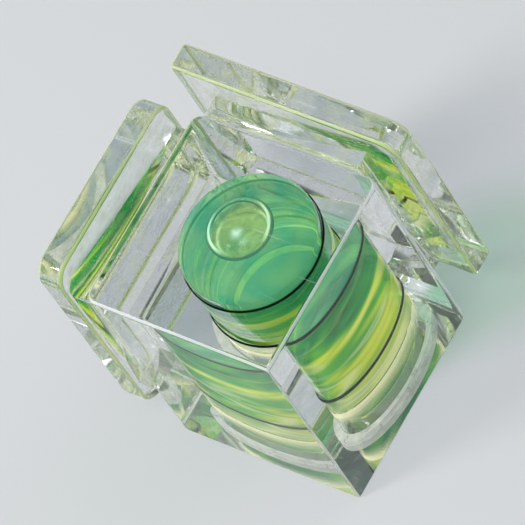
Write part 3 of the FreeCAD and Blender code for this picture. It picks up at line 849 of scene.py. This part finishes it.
inside = PLUG_RADIUS + CEMENT_GAP
profile = [(inside, CEMENT_LOW + INSET), (CEMENT_RADIUS, CEMENT_LOW + INSET), (CEMENT_RADIUS, CEMENT_TOP),
           (inside, CEMENT_TOP), (inside, CEMENT_LOW + INSET)]
finish_piece(turned("cement_ring", profile), "cement_ring", cured_cement, ["plug_cement"])
print("plug is", round((PLUG_TOP - PLUG_LOW) / MM, 2), "mm high")


# %% [markdown]
# ## The two black lines
#
# Two equal lines stand one above the other, so Geometry Nodes make one and repeat it. A circle is the
# path, a small rectangle is the section, and a line of points says where the copies go. The sizes are
# named inputs of the tree. Each is given to the modifier by its socket's identifier, before the
# object is evaluated for the first time. The copies are made real and get their material in the tree.

# %% Build the tree that repeats a line
LINE_GAP = 0.03 * MM
LINE_DEPTH = LINE_RADIUS - BARREL_RADIUS - LINE_GAP
LINE_INPUTS = {
    "Radius": ("NodeSocketFloat", LINE_RADIUS - LINE_DEPTH / 2),
    "Depth": ("NodeSocketFloat", LINE_DEPTH),
    "Width": ("NodeSocketFloat", LOWER_LINE_TOP - LOWER_LINE_LOW),
    "First": ("NodeSocketVector", (*VIAL_AXIS, (LOWER_LINE_LOW + LOWER_LINE_TOP) / 2)),
    "Step": ("NodeSocketVector", (0, 0, UPPER_LINE_LOW - LOWER_LINE_LOW)),
    "Count": ("NodeSocketInt", 2),
}
lines = bpy.data.node_groups.new("black_lines", "GeometryNodeTree")
lines.interface.new_socket("Geometry", in_out="OUTPUT", socket_type="NodeSocketGeometry")
for name, (kind, value) in LINE_INPUTS.items():
    lines.interface.new_socket(name, in_out="INPUT", socket_type=kind)
given = add(lines, "NodeGroupInput").outputs
path = add(lines, "GeometryNodeCurvePrimitiveCircle", Resolution=TURN_STEPS, Radius=given["Radius"])
section = add(lines, "GeometryNodeCurvePrimitiveQuadrilateral", Width=given["Depth"], Height=given["Width"])
band = add(lines, "GeometryNodeCurveToMesh", Curve=path, Profile_Curve=section)
places = add(lines, "GeometryNodeMeshLine", Count=given["Count"], Start_Location=given["First"],
             Offset=given["Step"])
copies = add(lines, "GeometryNodeInstanceOnPoints", Points=places, Instance=band)
real = add(lines, "GeometryNodeRealizeInstances", Geometry=copies)
painted = add(lines, "GeometryNodeSetMaterial", Geometry=real, Material=black_lacquer)
add(lines, "NodeGroupOutput", Geometry=painted)
print("line is", round(LINE_DEPTH / MM, 3), "mm deep in the wall")

# %% Turn the tree's result into a plain mesh
worker = bpy.data.objects.new("worker", bpy.data.meshes.new("worker"))
scene.collection.objects.link(worker)
modifier = worker.modifiers.new("lines", "NODES")
modifier.node_group = lines
for item in lines.interface.items_tree:
    if item.in_out == "INPUT":
        modifier[item.identifier] = LINE_INPUTS[item.name][1]
mesh = bpy.data.meshes.new_from_object(worker.evaluated_get(bpy.context.evaluated_depsgraph_get()))
bpy.data.objects.remove(worker)
finish_piece(mesh, "black_lines", black_lacquer, ["lower_ring", "upper_ring"])
heights = [vert.co.z for vert in mesh.vertices]
print("black lines from", round(min(heights) / MM, 2), "to", round(max(heights) / MM, 2), "mm")


# %% [markdown]
# ## The floor
#
# Clear things are seen by what lies behind them. A plain pale floor, matt as paper, fills the picture
# and keeps the block's soft, slightly green shadow. It lies a hair under the block, so that the two
# surfaces never share a plane.

# %% Lay the floor
FLOOR_HALF = 0.35
FLOOR_GAP = 0.05 * MM

corners = [(x * FLOOR_HALF, y * FLOOR_HALF, -FLOOR_GAP) for x, y in ((-1, -1), (1, -1), (1, 1), (-1, 1))]
floor_mesh = bpy.data.meshes.new("floor")
floor_mesh.from_pydata(corners, [], [(0, 1, 2, 3)])
floor = bpy.data.objects.new("floor", floor_mesh)
scene.collection.objects.link(floor)

paper, tree, output = new_material("floor_paper")[:3]
matt = add(tree, "ShaderNodeBsdfPrincipled", Base_Color=linear("#D9DBDC"), Roughness=0.9)
tree.links.new(matt.outputs["BSDF"], output.inputs["Surface"])
floor_mesh.materials.append(paper)
print("floor is", round(2 * FLOOR_HALF, 2), "m wide")

# %% [markdown]
# ## The studio's light
#
# In an evenly white studio a clear block would nearly vanish. It shows because its facets mirror
# different parts of the room, so the room is pale at the horizon and dark overhead: some facets turn
# white, others grey. Three soft square lamps give the shadow and the glints. Colours are shown with the
# Standard transform, which leaves them as they are written. Light crosses many surfaces here, so the
# numbers of bounces are raised.

# %% Light the object
world = bpy.data.worlds.new("studio")
scene.world = world
world.use_nodes = True
tree = world.node_tree
tree.nodes.clear()
upward = add(tree, "ShaderNodeSeparateXYZ", Vector=add(tree, "ShaderNodeTexCoord").outputs["Generated"])
room = add(tree, "ShaderNodeValToRGB", {"stops": {
    0.0: "#C0C4C8", 0.1: "#B0B4B8", 0.3: "#6A6E72", 0.8: "#44484C"}}, Fac=upward.outputs["Z"])
studio = add(tree, "ShaderNodeBackground", Color=room, Strength=1.0)
tree.links.new(studio.outputs["Background"], add(tree, "ShaderNodeOutputWorld").inputs["Surface"])


def lamp(name, azimuth, elevation, distance, side, watts):
    """A soft square lamp that faces the block. Angles are in degrees, lengths in metres."""
    light = bpy.data.lights.new(name, "AREA")
    light.size = side
    light.energy = watts
    item = bpy.data.objects.new(name, light)
    outward = direction(math.radians(azimuth), math.radians(elevation))
    item.location = AIM + outward * distance
    item.rotation_mode = "QUATERNION"
    item.rotation_quaternion = outward.to_track_quat("Z", "Y")
    scene.collection.objects.link(item)
    print(name, "lamp:", watts, "W from", azimuth, "and", elevation, "degrees")


lamp("key", azimuth=-36, elevation=47, distance=0.45, side=0.1, watts=1.45)
lamp("fill", azimuth=150, elevation=35, distance=0.5, side=0.3, watts=0.7)
lamp("top", azimuth=20, elevation=72, distance=0.5, side=0.2, watts=0.6)

scene.view_settings.view_transform = "Standard"
scene.cycles.max_bounces = 32
scene.cycles.transmission_bounces = 32
scene.cycles.glossy_bounces = 16
scene.cycles.transparent_max_bounces = 32
